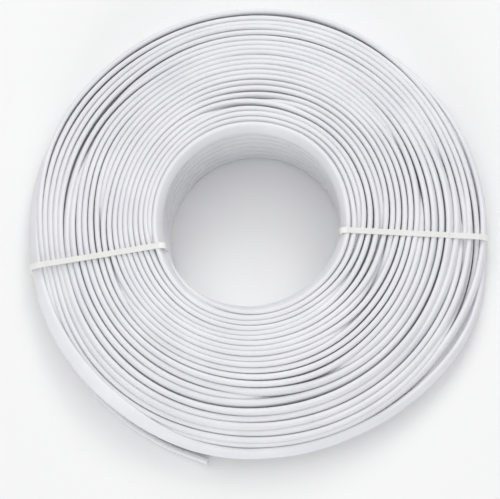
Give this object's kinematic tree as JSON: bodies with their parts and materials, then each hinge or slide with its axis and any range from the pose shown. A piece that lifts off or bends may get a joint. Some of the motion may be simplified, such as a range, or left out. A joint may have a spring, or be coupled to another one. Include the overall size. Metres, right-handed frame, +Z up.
{
  "type": "ring coil of flat telephone cable",
  "caption": "Reel-less ring coil of flat white multi-core cable, wound on edge round an open hole and held by cable ties with sprung locking pawls.",
  "frame": {"origin": "on the axis of the hole, on the flat surface that the ring lies on", "axes": "+Z up along the axis of the hole; +X towards the right-hand tie; -Y towards the side where the cut end of the cable stands off the rim"},
  "size_m": [0.2144, 0.2149, 0.0547],
  "materials": {
    "jacket": "satin",
    "tie_nylon": "satin",
    "core_white": "satin",
    "core_black": "satin",
    "core_red": "satin",
    "core_green": "satin",
    "core_yellow": "satin",
    "core_blue": "satin",
    "copper": "bright"
  },
  "bodies": {
    "coil": {"inner_winding": "jacket", "outer_winding": "jacket", "free_end_tail": "jacket", "free_end_jacket": "jacket", "free_end_core_white": "core_white", "free_end_core_black": "core_black", "free_end_core_red": "core_red", "free_end_core_green": "core_green", "free_end_core_yellow": "core_yellow", "free_end_core_blue": "core_blue", "free_end_conductors": "copper", "start_end_jacket": "jacket", "start_end_core_white": "core_white", "start_end_core_black": "core_black", "start_end_core_red": "core_red", "start_end_core_green": "core_green", "start_end_core_yellow": "core_yellow", "start_end_core_blue": "core_blue", "start_end_conductors": "copper", "left_tie": "tie_nylon", "right_tie": "tie_nylon"},
    "left_pawl": {"left_tie_pawl": "tie_nylon"},
    "right_pawl": {"right_tie_pawl": "tie_nylon"}
  },
  "joints": [
    {"name": "left_pawl_hinge", "type": "hinge", "parent": "coil", "child": "left_pawl", "pos_m": [-0.07433, -0.01375, 0.00292], "axis": [0.0314, -0.9995, 0], "range_deg": [0, 12], "stiffness_Nm_per_rad": 0.006},
    {"name": "right_pawl_hinge", "type": "hinge", "parent": "coil", "child": "right_pawl", "pos_m": [0.07579, -0.00456, 0.00292], "axis": [-0.0558, 0.9984, 0], "range_deg": [0, 12], "stiffness_Nm_per_rad": 0.006}
  ]
}
